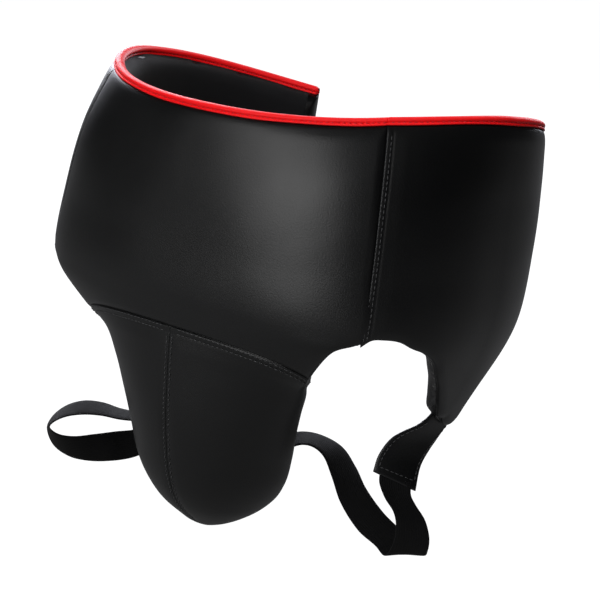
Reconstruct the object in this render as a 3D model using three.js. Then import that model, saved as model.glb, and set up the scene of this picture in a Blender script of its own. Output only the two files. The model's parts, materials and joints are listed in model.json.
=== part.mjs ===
// Padded groin protector: a front panel and cup between two hip wings, with elastic leg straps.
// Millimetres. +Z is up, -Y is the wearer's front, +X is the wearer's left.
// The origin is the middle of the waist opening, level with the top edge of the front panel.
import * as THREE from 'three';

// ---- driving dimensions ----
const PAD_THICKNESS = 18;        // front panel and wings, cover to lining
const CUP_THICKNESS = 19;        // cup, cover to lining
const SKIN = 1.6;                // leather cover and lining sheets
const SHELL = 2.4;               // moulded cup shell inside the foam
const GAP = 0.35;                // clearance between parts that touch
const EDGE_THICKNESS = 4.6;      // cover and lining where they are sewn together
const EDGE_ROLL = 14;            // distance over which a padded edge swells to full thickness
const EDGE_LIFT = 4;             // how far the sewn edge lies above the middle of the pad
const TOP_MARGIN = 2;            // from the top of the belt's surface down to the sewn edge
const BINDING_HEIGHT = 5.5;
const BINDING_THICKNESS = 1.2;
const SEAM_ANGLE = 47;           // side seam, degrees round from the front centre
const REAR_ANGLE = 147;          // rear end of each wing
const HINGE_CLEARANCE = 2.4;     // half the gap between front panel and wing along the side seam
const LEG_STRAP_WIDTH = 25;
const LEG_STRAP_THICKNESS = 1.8;
const TAB_WIDTH = 35;
const TAB_THICKNESS = 4;
const WAIST_STRAP_WIDTH = 38;
const WAIST_STRAP_THICKNESS = 2.2;

// ---- shape tables ----
// Level sections of the belt, front panel and wings together:
// [height, half width, front y, centre y, squareness of the front quarter]
const BELT_SECTIONS = [
  [-210, 168, -160, -31, 3.0],
  [-150, 190, -161, -25, 2.9],
  [-100, 191.5, -157, -19, 2.7],
  [-50, 188, -150, -12.5, 2.5],
  [0, 183, -138.5, -6, 2.0],
];
const HIP_RISE = 12.2;           // half the rise of the top edge from the front to the hips
const REAR_DROP = 15.3;          // half the fall of the top edge from the front to the back
const REAR_STRETCH = 1.2;        // the rear half of a section is this much deeper than the front

// Rows of the front panel below the side seams and of the cup, down the centre line:
// [distance down, centre y, edge x, edge y, edge z, wrap in degrees, squareness]
const LOWER_ROWS = [
  [152, -158.5, 135, -137, -158, 62, 2.6],
  [166, -157, 109.5, -125.5, -186, 88, 2.2],
  [185, -157, 95, -106, -203, 101, 2],
  [205, -156.5, 85.5, -98, -220, 104, 2],
  [230, -155.5, 77, -91, -241, 105, 2],
  [258, -152.5, 69.5, -84, -265, 105, 2],
  [285, -147, 62.5, -81.5, -288, 105, 2],
  [303, -139.5, 53, -82, -304, 105, 2],
  [316, -130, 41.5, -90, -316, 104, 2],
  [327, -118, 26, -101, -326, 100, 2],
  [335, -109, 8, -107, -334.5, 90, 2],
];
const BELT_ROW_DEPTHS = [[0, 8.2], [50, -45], [100, -98], [138, -146]];   // [centre, side seam]
const CUP_SEAM_ROW = 166;
const CUP_BOTTOM_ROW = 335;

// Lower edge of a wing: [degrees round, height], down to the tail tip and up to the rear end
const WING_LOWER_EDGE = [
  [47, -150], [50, -144.5], [54, -143.5], [60, -145], [65.5, -150.5], [70.6, -155], [76.5, -165],
  [80, -176], [84, -189], [87.5, -205], [89.5, -217], [99.5, -224], [102, -211], [105, -192],
  [112, -168], [122, -148], [135, -130], [147, -115],
];

// Straps and tabs: [x, y, z, across x, across y, across z] along the middle, as they lie at rest
const LEFT_TAB_ROUTE = [
  [151.5, -29, -229.5, 0.12, 0.83, -0.25], [149, -36.5, -234, 0.27, 0.86, -0.3],
  [146.5, -45, -240, 0.42, 0.85, -0.34], [145, -54.5, -251, 0.54, 0.81, -0.31],
  [147, -62, -265, 0.71, 0.62, -0.38],
];
const LEFT_STRAP_ROUTE = [
  [148.3, -62.3, -270, 0.77, 0.6, -0.32], [153, -61, -279, 0.66, 0.73, -0.24],
  [160, -57, -290, 0.67, 0.73, -0.24], [163.5, -55.5, -302, 0.82, 0.6, -0.22],
  [162.5, -54.5, -313, 0.85, 0.6, -0.16], [158, -53, -321.5, 0.86, 0.66, 0.04],
  [150, -52, -322, 0.62, 0.62, 0.32], [141, -51.5, -316, 0.35, 0.87, 0.32],
  [125, -55, -306, 0.31, 0.82, 0.45], [107, -56, -290, 0.26, 0.9, 0.32],
  [93, -51.5, -276.5, 0.17, 0.97, 0.15], [78, -48.5, -264.5, -0.06, 0.98, 0.08],
  [62, -50, -260, -0.36, 0.91, 0.07], [50, -54, -261, -0.52, 0.82, 0.12],
  [38, -62, -268, -0.64, 0.7, 0.24], [27, -72, -280, -0.78, 0.45, 0.37],
  [15.5, -81, -292.5, -0.87, 0.22, 0.45],
];
const RIGHT_TAB_ROUTE = [
  [-157, -21, -233, 0.08, 0.82, -0.2], [-155, -15, -242, 0.2, 0.9, -0.1],
  [-150.5, -6, -254, 0.33, 0.93, 0], [-146, 2, -266, 0.4, 0.91, 0.05],
  [-143, 6, -280, 0.4, 0.9, 0.12],
];
const RIGHT_STRAP_ROUTE = [
  [-142, 7, -285.5, 0.38, 0.92, 0.15], [-143, 6, -299, 0.2, 0.96, 0.45],
  [-142, 0, -312, 0.1, 0.98, 0.98], [-139, -15, -321, 0, 0.5, 1.03],
  [-137, -37, -323.5, -0.03, 0.05, 1], [-139, -63, -321.5, -0.1, 0.1, 1],
  [-151, -78.5, -323, 0.17, -0.06, 1.02], [-162, -90.5, -322.5, 0.47, -0.28, 0.92],
  [-169.5, -102, -316, 0.69, -0.45, 0.68], [-171.5, -109.5, -304.5, 0.72, -0.61, 0.37],
  [-166, -111, -295.5, 0.74, -0.66, 0.18], [-154, -108, -285, 0.74, -0.67, -0.02],
  [-139, -102.5, -278.5, 0.7, -0.67, -0.15], [-123, -96.5, -276.5, 0.67, -0.7, -0.13],
  [-107, -91, -277.5, 0.66, -0.72, -0.04], [-91, -80, -278, 0.52, -0.8, 0.05],
  [-74, -66, -276, 0.35, -0.9, 0.12], [-56, -59, -270, -0.05, -0.97, 0.06],
  [-40, -62, -268.5, -0.58, -0.74, -0.2], [-27, -72, -280, -0.78, -0.45, -0.37],
  [-15.5, -81, -292.5, -0.87, -0.22, -0.45],
];
const CROTCH_ANCHOR_ROUTE = [
  [0, -96, -322.5, 1, 0, 0], [0, -91, -313, 1.5, 0, 0], [0, -86, -302, 2.1, 0, 0],
];
const CROTCH_ANCHOR_WIDTH = 27;
const WAIST_STRAP_ROUTE = [
  [93.5, 133, -65, 0, 0, 1], [72, 146, -66, 0, 0, 1], [48, 155, -67, 0, 0, 1],
  [24, 160, -68, 0, 0, 1], [0, 162, -69, 0, 0, 1],
];
const HOOK_PATCH_ROUTE = [
  [40, 154.3, -67.5, 0, 0, 1], [24, 157.5, -68, 0, 0, 1], [4, 159.3, -68.9, 0, 0, 1],
];
const LOOP_PATCH_SPAN = [122, 142];      // degrees round the right wing
const LOOP_PATCH_HEIGHTS = [-48, -84];
const TAPE_THICKNESS = 1.6;              // hook patch and loop patch
const HOOK_PATCH_WIDTH = WAIST_STRAP_WIDTH - 6;

// ---- materials ----
const blackLeather = new THREE.MeshStandardMaterial({ color: 0x101012, roughness: 0.42, metalness: 0 });
const liningCloth = new THREE.MeshStandardMaterial({ color: 0x16161a, roughness: 0.8, metalness: 0 });
const foam = new THREE.MeshStandardMaterial({ color: 0x3c3d42, roughness: 0.95, metalness: 0 });
const redBinding = new THREE.MeshStandardMaterial({ color: 0xd8101a, roughness: 0.45, metalness: 0 });
const elastic = new THREE.MeshStandardMaterial({ color: 0x0b0b0c, roughness: 0.85, metalness: 0 });
const shellPlastic = new THREE.MeshStandardMaterial({ color: 0xd9d7cf, roughness: 0.4, metalness: 0 });
const hookAndLoop = new THREE.MeshStandardMaterial({ color: 0x141416, roughness: 0.95, metalness: 0 });

// ---- interpolation ----
const radians = THREE.MathUtils.degToRad;

// Smooth curve through the rows of a table whose first column rises
function tableValue(table, column, at) {
  const last = table.length - 1;
  let i = 0;
  while (i < last - 1 && at > table[i + 1][0]) i += 1;
  const slope = (a, b) => (table[b][column] - table[a][column]) / (table[b][0] - table[a][0]);
  const here = slope(i, i + 1);
  const startSlope = i > 0 ? (slope(i - 1, i) + here) / 2 : here;
  const endSlope = i < last - 1 ? (here + slope(i + 1, i + 2)) / 2 : here;
  const step = table[i + 1][0] - table[i][0];
  const t = (at - table[i][0]) / step;
  const t2 = t * t;
  const t3 = t2 * t;
  return (2 * t3 - 3 * t2 + 1) * table[i][column] + (t3 - 2 * t2 + t) * step * startSlope
    + (3 * t2 - 2 * t3) * table[i + 1][column] + (t3 - t2) * step * endSlope;
}

const signedPower = (value, power) => Math.sign(value) * Math.abs(value) ** power;

// ---- base surfaces ----
// Point on the outer face of the belt, at an angle in degrees from the front centre
function beltPoint(degrees, height) {
  const [halfWidth, frontY, centreY, squareness] = [1, 2, 3, 4].map(
    (c) => tableValue(BELT_SECTIONS, c, height),
  );
  const side = Math.sin(radians(degrees));
  const forward = Math.cos(radians(degrees));
  const power = forward > 0 ? 2 / squareness : 1;
  const depth = (centreY - frontY) * (forward > 0 ? 1 : REAR_STRETCH);
  return new THREE.Vector3(
    halfWidth * signedPower(side, power),
    centreY - depth * signedPower(forward, power),
    height,
  );
}

// Height of the top edge: level at the front, highest over the hips, lowest at the rear
function rimHeight(degrees) {
  const angle = radians(degrees);
  return HIP_RISE * (1 - Math.cos(2 * angle)) - REAR_DROP * (1 - Math.cos(angle));
}

const FRONT_ROWS = [
  ...BELT_ROW_DEPTHS.map(([down, seamHeight]) => {
    const edge = beltPoint(SEAM_ANGLE, seamHeight);
    const [frontY, squareness] = [2, 4].map((c) => tableValue(BELT_SECTIONS, c, -down));
    return [down, frontY, edge.x, edge.y, edge.z, SEAM_ANGLE, squareness];
  }),
  ...LOWER_ROWS,
];

// Point on the outer face of the front panel or cup; across runs from -1, right edge, to 1, left edge
function frontPoint(across, down) {
  const [centreY, edgeX, edgeY, edgeZ, wrap, squareness] = [1, 2, 3, 4, 5, 6].map(
    (c) => tableValue(FRONT_ROWS, c, down),
  );
  const power = 2 / squareness;
  const edgeForward = signedPower(Math.cos(radians(wrap)), power);
  const middleY = (edgeY - centreY * edgeForward) / (1 - edgeForward);
  const halfWidth = edgeX / Math.sin(radians(wrap)) ** power;
  const angle = radians(wrap * Math.abs(across));
  return new THREE.Vector3(
    Math.sign(across) * halfWidth * Math.sin(angle) ** power,
    middleY - (middleY - centreY) * signedPower(Math.cos(angle), power),
    -down + (edgeZ + down) * across * across,
  );
}

// ---- patches: functions of u, across, and v, down, both from 0 to 1 ----
// The first share of v covers the flat band that the binding grips
const BAND = 0.06;
const BAND_DROP = BINDING_HEIGHT + 1;
const FLAT_TOP = BAND_DROP + 2;          // distance from the top edge at which the pad starts to swell

function dropBelowRim(v, length) {
  return v < BAND ? (v / BAND) * BAND_DROP : BAND_DROP + ((v - BAND) / (1 - BAND)) * (length - BAND_DROP);
}

const frontPanel = (u, v) => frontPoint(2 * u - 1, TOP_MARGIN + dropBelowRim(v, CUP_SEAM_ROW - TOP_MARGIN));
const cup = (u, v) => frontPoint(2 * u - 1, THREE.MathUtils.lerp(CUP_SEAM_ROW, CUP_BOTTOM_ROW, v));

function leftWing(u, v) {
  const degrees = THREE.MathUtils.lerp(SEAM_ANGLE, REAR_ANGLE, u);
  const top = rimHeight(degrees) - TOP_MARGIN;
  return beltPoint(degrees, top - dropBelowRim(v, top - tableValue(WING_LOWER_EDGE, 1, degrees)));
}
const rightWing = (u, v) => leftWing(1 - u, v).multiply(new THREE.Vector3(-1, 1, 1));

// Outward direction of a patch, which runs from the wearer's right to left and downwards
function outward(patch, u, v) {
  const step = 0.004;
  const [u0, u1] = [Math.max(u - step, 0), Math.min(u + step, 1)];
  const [v0, v1] = [Math.max(v - step, 0), Math.min(v + step, 1)];
  const across = patch(u1, v).sub(patch(u0, v));
  const down = patch(u, v1).sub(patch(u, v0));
  return down.cross(across).normalize();
}

// ---- padding thickness ----
const EDGE_SAMPLES = 40;

function sampleEdge(point) {
  return Array.from({ length: EDGE_SAMPLES + 1 }, (_, i) => point(i / EDGE_SAMPLES));
}

function distanceToEdge(samples, point) {
  const segment = new THREE.Line3();
  const nearest = new THREE.Vector3();
  let best = Infinity;
  for (let i = 1; i < samples.length; i += 1) {
    segment.set(samples[i - 1], samples[i]).closestPointToPoint(point, true, nearest);
    best = Math.min(best, nearest.distanceTo(point));
  }
  return best;
}

// Grid lines from 0 to 1, crowded towards both ends, where padded edges roll over
const crowdedLines = (count) => Array.from(
  { length: count + 1 },
  (_, i) => 0.5 - 0.5 * Math.cos((Math.PI * i) / count),
);

// A pad is a patch with grid lines and the thickness it has at each point
function makePad(patch, thickness, columnLines, rowLines, flatTop) {
  const edges = [
    { samples: sampleEdge((t) => patch(t, 0)), flat: flatTop },
    { samples: sampleEdge((t) => patch(t, 1)), flat: 0 },
    { samples: sampleEdge((t) => patch(0, t)), flat: 0 },
    { samples: sampleEdge((t) => patch(1, t)), flat: 0 },
  ];
  // Middle and half thickness, as distances outward from the patch
  const section = (u, v) => {
    const point = patch(u, v);
    const inset = Math.min(...edges.map(({ samples, flat }) => distanceToEdge(samples, point) - flat));
    const fade = 1 - THREE.MathUtils.clamp(inset / EDGE_ROLL, 0, 1);
    const swell = Math.sqrt(1 - fade * fade);
    return {
      middle: -thickness / 2 + EDGE_LIFT * (1 - swell),
      half: THREE.MathUtils.lerp(EDGE_THICKNESS, thickness, swell) / 2,
    };
  };
  return { patch, section, columnLines, rowLines };
}

// ---- mesh building ----
function meshFrom(name, positions, triangles, material) {
  const geometry = new THREE.BufferGeometry();
  const coordinates = positions.flatMap((position) => position.toArray());
  geometry.setAttribute('position', new THREE.Float32BufferAttribute(coordinates, 3));
  geometry.setIndex(triangles);
  geometry.computeVertexNormals();
  const mesh = new THREE.Mesh(geometry, material);
  mesh.name = name;
  return mesh;
}

// Closed layer of a pad between two depths, each a function of the section at a point
function layer(name, pad, material, outerFace, innerFace, { columns = [0, -1], rows = [0, -1] } = {}) {
  const us = pad.columnLines.slice(columns[0], pad.columnLines.length + columns[1] + 1);
  const vs = pad.rowLines.slice(rows[0], pad.rowLines.length + rows[1] + 1);
  const positions = [];
  for (const face of [outerFace, innerFace]) {
    for (const v of vs) {
      for (const u of us) {
        positions.push(pad.patch(u, v).addScaledVector(outward(pad.patch, u, v), face(pad.section(u, v))));
      }
    }
  }
  const lastColumn = us.length - 1;
  const lastRow = vs.length - 1;
  const at = (face, r, c) => (face * vs.length + r) * us.length + c;
  const triangles = [];
  const quad = (a, b, c, d) => triangles.push(a, b, c, a, c, d);
  for (let r = 0; r < lastRow; r += 1) {
    for (let c = 0; c < lastColumn; c += 1) {
      quad(at(0, r, c), at(0, r + 1, c), at(0, r + 1, c + 1), at(0, r, c + 1));
      quad(at(1, r, c), at(1, r, c + 1), at(1, r + 1, c + 1), at(1, r + 1, c));
    }
    quad(at(0, r, 0), at(1, r, 0), at(1, r + 1, 0), at(0, r + 1, 0));
    quad(at(0, r, lastColumn), at(0, r + 1, lastColumn), at(1, r + 1, lastColumn), at(1, r, lastColumn));
  }
  for (let c = 0; c < lastColumn; c += 1) {
    quad(at(0, 0, c), at(0, 0, c + 1), at(1, 0, c + 1), at(1, 0, c));
    quad(at(0, lastRow, c), at(1, lastRow, c), at(1, lastRow, c + 1), at(0, lastRow, c + 1));
  }
  return meshFrom(name, positions, triangles, material);
}

// Closed solid through a row of loops, each with the same number of corners in the same order
function loft(name, loops, material) {
  const corners = loops[0].length;
  const positions = loops.flat();
  const triangles = [];
  for (let i = 0; i + 1 < loops.length; i += 1) {
    for (let k = 0; k < corners; k += 1) {
      const next = (k + 1) % corners;
      const here = i * corners;
      const beyond = here + corners;
      triangles.push(here + k, here + next, beyond + next);
      triangles.push(here + k, beyond + next, beyond + k);
    }
  }
  return { name, positions, triangles, corners, last: (loops.length - 1) * corners, material };
}

// Flat strip with square edges along a route. Each cross line runs along the route's across vector,
// whose length scales the width, so that a strip can taper and can be folded or cut obliquely.
const RIBBON_STEPS = 3;

function ribbon(name, route, width, thickness, material) {
  const centre = new THREE.CatmullRomCurve3(route.map(([x, y, z]) => new THREE.Vector3(x, y, z)));
  const across = new THREE.CatmullRomCurve3(route.map(([, , , x, y, z]) => new THREE.Vector3(x, y, z)));
  const steps = (route.length - 1) * RIBBON_STEPS;
  const loops = [];
  for (let i = 0; i <= steps; i += 1) {
    const along = centre.getTangent(i / steps);
    const middle = centre.getPoint(i / steps);
    const side = across.getPoint(i / steps);
    const face = along.clone().cross(side).normalize();
    loops.push([[-1, -1], [1, -1], [1, 1], [-1, 1]].map(([s, f]) => middle.clone()
      .addScaledVector(side, (s * width) / 2)
      .addScaledVector(face, (f * thickness) / 2)));
  }
  const body = loft(name, loops, material);
  body.triangles.push(0, 2, 1, 0, 3, 2);
  const l = body.last;
  body.triangles.push(l, l + 1, l + 2, l, l + 2, l + 3);
  return meshFrom(name, body.positions, body.triangles, material);
}

// U-shaped binding folded over the top edge of a pad
function binding(name, pad) {
  const loops = [];
  for (const u of pad.columnLines) {
    const top = pad.patch(u, 0);
    const down = pad.patch(u, BAND).sub(top).normalize();
    const out = outward(pad.patch, u, 0);
    const { middle, half } = pad.section(u, 0);
    const inside = half + GAP;
    const outside = inside + BINDING_THICKNESS;
    const profile = [
      [inside, BINDING_HEIGHT], [inside, -GAP], [-inside, -GAP], [-inside, BINDING_HEIGHT],
      [-outside, BINDING_HEIGHT], [-outside, 0], [0, -GAP - 2 * BINDING_THICKNESS], [outside, 0],
      [outside, BINDING_HEIGHT],
    ];
    loops.push(profile.map(([off, drop]) => top.clone()
      .addScaledVector(out, middle + off)
      .addScaledVector(down, drop)));
  }
  const body = loft(name, loops, redBinding);
  const caps = [[8, 7, 1], [8, 1, 0], [7, 6, 1], [6, 2, 1], [6, 5, 2], [5, 4, 2], [4, 3, 2]];
  for (const [a, b, c] of caps) {
    body.triangles.push(a, b, c);
    body.triangles.push(body.last + a, body.last + c, body.last + b);
  }
  return meshFrom(name, body.positions, body.triangles, redBinding);
}

// ---- layers of a pad ----
const outerSkinFace = ({ middle, half }) => middle + half;
const outerSkinBack = ({ middle, half }) => middle + half - SKIN;
const liningFace = ({ middle, half }) => middle - half;
const liningBack = ({ middle, half }) => middle - half + SKIN;
const foamFront = ({ middle, half }) => middle + half - SKIN - GAP;
const foamBack = ({ middle, half }) => middle - half + SKIN + GAP;

// Trims a patch's sides so that panels meeting at a hinge line keep their clearance
function trimSides(patch, rightTrim, leftTrim) {
  const width = patch(0, 0.5).distanceTo(patch(0.5, 0.5)) + patch(0.5, 0.5).distanceTo(patch(1, 0.5));
  return (u, v) => patch(THREE.MathUtils.lerp(rightTrim / width, 1 - leftTrim / width, u), v);
}

const PANEL_COLUMNS = crowdedLines(14);
const PANEL_ROWS = [0, BAND, ...[0.1, 0.17, 0.27, 0.4, 0.54, 0.68, 0.81, 0.91, 0.97, 1]];
const CUP_ROWS = crowdedLines(12);
const CUP_HALF_COLUMNS = crowdedLines(8);
const CUP_SEAM_HALF_GAP = 0.003;         // as a share of the cup's width
const CUP_SEAM_TRIM = 0.006;             // as a share of its height: clearance to the front panel

function paddedPanel(name, patch) {
  const pad = makePad(patch, PAD_THICKNESS, PANEL_COLUMNS, PANEL_ROWS, FLAT_TOP);
  return [
    layer(`${name}_cover`, pad, blackLeather, outerSkinFace, outerSkinBack),
    layer(`${name}_padding`, pad, foam, foamFront, foamBack, { columns: [1, -2], rows: [2, -2] }),
    layer(`${name}_lining`, pad, liningCloth, liningBack, liningFace),
    binding(`${name}_binding`, pad),
  ];
}

// The cup's cover is two halves with a seam down the middle. Its shell lies behind the foam.
function paddedCup() {
  const belowSeam = (u, v) => cup(u, THREE.MathUtils.lerp(CUP_SEAM_TRIM, 1, v));
  const half = 0.5 - CUP_SEAM_HALF_GAP;
  const rightColumns = CUP_HALF_COLUMNS.map((t) => t * half);
  const columns = [...rightColumns, ...rightColumns.map((t) => 1 - half + t)];
  const pad = makePad(belowSeam, CUP_THICKNESS, columns, CUP_ROWS, 0);
  const rightHalf = { columns: [0, -1 - CUP_HALF_COLUMNS.length] };
  const leftHalf = { columns: [CUP_HALF_COLUMNS.length, -1] };
  const core = { columns: [2, -3], rows: [1, -3] };      // foam and shell stop short of the sewn edges
  const shellFront = (section) => foamBack(section) + SHELL;
  return [
    layer('cup_cover_right', pad, blackLeather, outerSkinFace, outerSkinBack, rightHalf),
    layer('cup_cover_left', pad, blackLeather, outerSkinFace, outerSkinBack, leftHalf),
    layer('cup_padding', pad, foam, foamFront, (section) => shellFront(section) + GAP, core),
    layer('cup_shell', pad, shellPlastic, shellFront, foamBack, core),
    layer('cup_lining', pad, liningCloth, liningBack, liningFace),
  ];
}

function loopPatch() {
  const [from, to] = LOOP_PATCH_SPAN;
  const [top, bottom] = LOOP_PATCH_HEIGHTS;
  const patch = (u, v) => beltPoint(THREE.MathUtils.lerp(to, from, u), THREE.MathUtils.lerp(top, bottom, v))
    .multiply(new THREE.Vector3(-1, 1, 1));
  const pad = { patch, section: () => GAP, columnLines: crowdedLines(8), rowLines: crowdedLines(3) };
  return layer('loop_patch', pad, hookAndLoop, (height) => height + TAPE_THICKNESS, (height) => height);
}

// ---- assembly ----
const groinProtector = new THREE.Group();
groinProtector.add(...paddedPanel('front', trimSides(frontPanel, HINGE_CLEARANCE, HINGE_CLEARANCE)));
groinProtector.add(...paddedCup());
groinProtector.add(...paddedPanel('left_wing', trimSides(leftWing, HINGE_CLEARANCE, 0)));
groinProtector.add(...paddedPanel('right_wing', trimSides(rightWing, 0, HINGE_CLEARANCE)));
groinProtector.add(
  ribbon('left_tail_tab', LEFT_TAB_ROUTE, TAB_WIDTH, TAB_THICKNESS, blackLeather),
  ribbon('right_tail_tab', RIGHT_TAB_ROUTE, TAB_WIDTH, TAB_THICKNESS, blackLeather),
  ribbon('left_leg_strap', LEFT_STRAP_ROUTE, LEG_STRAP_WIDTH, LEG_STRAP_THICKNESS, elastic),
  ribbon('right_leg_strap', RIGHT_STRAP_ROUTE, LEG_STRAP_WIDTH, LEG_STRAP_THICKNESS, elastic),
  ribbon('crotch_anchor', CROTCH_ANCHOR_ROUTE, CROTCH_ANCHOR_WIDTH, TAB_THICKNESS, blackLeather),
  ribbon('waist_strap', WAIST_STRAP_ROUTE, WAIST_STRAP_WIDTH, WAIST_STRAP_THICKNESS, elastic),
  ribbon('hook_patch', HOOK_PATCH_ROUTE, HOOK_PATCH_WIDTH, TAPE_THICKNESS, hookAndLoop),
  loopPatch(),
);

export default groinProtector;
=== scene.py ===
"""Padded leather groin protector: the looks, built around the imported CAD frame.

The shape code works in millimetres, in the CAD frame: +Z up, -Y the wearer's front, +X the wearer's
left. Meshes are made in metres.
"""
import json
import math

import bmesh
import bpy
import numpy as np
from mathutils import Matrix, Vector
from mathutils.kdtree import KDTree


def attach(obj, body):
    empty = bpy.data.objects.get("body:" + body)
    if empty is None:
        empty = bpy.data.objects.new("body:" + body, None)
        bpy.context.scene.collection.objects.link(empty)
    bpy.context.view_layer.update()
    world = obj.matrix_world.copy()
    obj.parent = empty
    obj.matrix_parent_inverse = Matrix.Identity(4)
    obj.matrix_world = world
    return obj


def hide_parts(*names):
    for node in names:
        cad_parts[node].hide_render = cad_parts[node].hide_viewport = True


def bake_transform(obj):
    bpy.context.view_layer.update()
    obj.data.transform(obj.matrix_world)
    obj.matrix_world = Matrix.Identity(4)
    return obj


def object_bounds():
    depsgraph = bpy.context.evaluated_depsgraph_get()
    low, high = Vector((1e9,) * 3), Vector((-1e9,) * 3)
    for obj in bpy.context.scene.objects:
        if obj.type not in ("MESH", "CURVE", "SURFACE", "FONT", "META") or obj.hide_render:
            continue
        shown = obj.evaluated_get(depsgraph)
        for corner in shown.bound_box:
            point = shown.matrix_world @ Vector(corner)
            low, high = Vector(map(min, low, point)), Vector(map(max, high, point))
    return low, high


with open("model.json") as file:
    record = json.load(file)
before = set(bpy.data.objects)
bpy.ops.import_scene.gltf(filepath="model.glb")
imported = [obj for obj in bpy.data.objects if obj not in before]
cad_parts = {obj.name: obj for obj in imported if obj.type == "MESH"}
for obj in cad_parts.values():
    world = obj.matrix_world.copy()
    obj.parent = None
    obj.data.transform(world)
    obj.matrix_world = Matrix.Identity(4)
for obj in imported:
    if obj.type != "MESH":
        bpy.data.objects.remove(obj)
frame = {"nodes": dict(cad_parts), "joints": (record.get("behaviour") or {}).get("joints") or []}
cad_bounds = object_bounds()

MM = 0.001

# ---- driving dimensions, as in the CAD ----
PAD_THICKNESS = 18
CUP_THICKNESS = 19
EDGE_LIFT = 4             # how far a sewn edge lies outward of the middle of the pad
RIM_THICKNESS = 4.6       # cover and lining together under the binding
TOP_MARGIN = 2            # from the top of the belt's surface down to the sewn edge
BINDING_HEIGHT = 5.5
SEAM_ANGLE = 47           # degrees round the belt, from the middle of the front
REAR_ANGLE = 147
REAR_DROP = 15.3          # the rim's steady fall from the front to the side of the belt
HIP_RISE = 12.2           # half of what it rises over the hips on top of that
LEG_STRAP_WIDTH = 25
LEG_STRAP_THICKNESS = 1.6
TAB_WIDTH = 35
TAB_THICKNESS = 3.6
ANCHOR_WIDTH = 27
ANCHOR_THICKNESS = TAB_THICKNESS + 0.6
WAIST_STRAP_WIDTH = 38
WAIST_STRAP_THICKNESS = 2
HOOK_PATCH_WIDTH = WAIST_STRAP_WIDTH - 6
HOOK_PATCH_THICKNESS = 1.6
LOOP_PATCH_SIZE = (58, 36)

# ---- stitching ----
STITCH_PITCH = 4.0
STITCH_LENGTH = 3.1
THREAD = 0.6
FOLD_ROW_INSET = 1.1      # from the side seam and the cup seam to the row along the fold
SEAM_ROW_INSET = 4.6      # from the same seams to the row of topstitching
CENTRE_ROW_INSET = 2.5    # from the seam down the cup to the row on each side of it
GROOVE_DROP = 3.4         # from the top of the binding down to its stitched groove
BINDING_THREAD = 0.8

# ---- blending round the side seams ----
BLEND_START = 3
BLEND_LENGTH = 58

# ---- shape tables, as in the CAD ----
# [height, half width, front y, centre y, squareness of the front quarter]
BELT_SECTIONS = [
    [-210, 168, -160, -31, 3.0],
    [-150, 190, -161, -25, 2.9],
    [-100, 191.5, -157, -19, 2.7],
    [-50, 188, -150, -12.5, 2.5],
    [0, 183, -138.5, -6, 2.0],
]
REAR_STRETCH = 1.2
# [distance down, centre y, edge x, edge y, edge z, wrap in degrees, squareness]
LOWER_ROWS = [
    [152, -158.5, 135, -137, -158, 62, 2.6],
    [166, -157, 109.5, -125.5, -186, 88, 2.2],
    [185, -157, 95, -106, -203, 101, 2],
    [205, -156.5, 85.5, -98, -220, 104, 2],
    [230, -155.5, 77, -91, -241, 105, 2],
    [258, -152.5, 69.5, -84, -265, 105, 2],
    [285, -147, 62.5, -81.5, -288, 105, 2],
    [303, -139.5, 53, -82, -304, 105, 2],
    [316, -130, 41.5, -90, -316, 104, 2],
    [327, -118, 26, -101, -326, 100, 2],
    [335, -109, 8, -107, -334.5, 90, 2],
]
BELT_ROW_DEPTHS = [[0, 8.2], [50, -45], [100, -98], [138, -146]]
CUP_SEAM_ROW = 166
CUP_BOTTOM_ROW = 335
SIDE_SEAM_END = 141       # distance down at which the side seam ends and the leg edge begins
# [degrees round, height]
WING_LOWER_EDGE = [
    [47, -150], [50, -144.5], [54, -143.5], [60, -145], [65.5, -150.5], [70.6, -155], [76.5, -165],
    [80, -176], [84, -189], [87.5, -205], [89.5, -217], [99.5, -224], [102, -211], [105, -192],
    [112, -168], [122, -148], [135, -130], [147, -115],
]

# ---- routes of straps and tabs, as in the CAD: [x, y, z, across x, across y, across z] ----
# The first tab point, the first and last points of the leg straps and the first two of the waist strap
# lie inside the pieces they are sewn to.
LEFT_TAB_ROUTE = [
    [155, -18, -219, 0.04, 0.74, -0.2], [153.5, -23, -224.5, 0.06, 0.78, -0.22],
    [151.5, -29, -229.5, 0.12, 0.83, -0.25], [149, -36.5, -234, 0.27, 0.86, -0.3],
    [146.5, -45, -240, 0.42, 0.85, -0.34], [145, -54.5, -251, 0.54, 0.81, -0.31],
    [147, -62, -265, 0.71, 0.62, -0.38],
]
LEFT_STRAP_ROUTE = [
    [146.5, -60.5, -262, 0.77, 0.56, -0.34],
    [148.3, -62.3, -270, 0.77, 0.6, -0.32], [153, -61, -279, 0.66, 0.73, -0.24],
    [160, -57, -290, 0.67, 0.73, -0.24], [163.5, -55.5, -302, 0.82, 0.6, -0.22],
    [162.5, -54.5, -313, 0.85, 0.6, -0.16], [158, -53, -321.5, 0.86, 0.66, 0.04],
    [150, -52, -322, 0.62, 0.62, 0.32], [141, -51.5, -316, 0.35, 0.87, 0.32],
    [125, -55, -306, 0.31, 0.82, 0.45], [107, -56, -290, 0.26, 0.9, 0.32],
    [93, -51.5, -276.5, 0.17, 0.97, 0.15], [78, -48.5, -264.5, -0.06, 0.98, 0.08],
    [62, -50, -260, -0.36, 0.91, 0.07], [50, -54, -261, -0.52, 0.82, 0.12],
    [38, -62, -268, -0.64, 0.7, 0.24], [27, -72, -280, -0.78, 0.45, 0.37],
    [15.5, -81, -292.5, -0.87, 0.22, 0.45], [9.5, -86.5, -303, -0.87, 0.22, 0.45],
]
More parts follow.
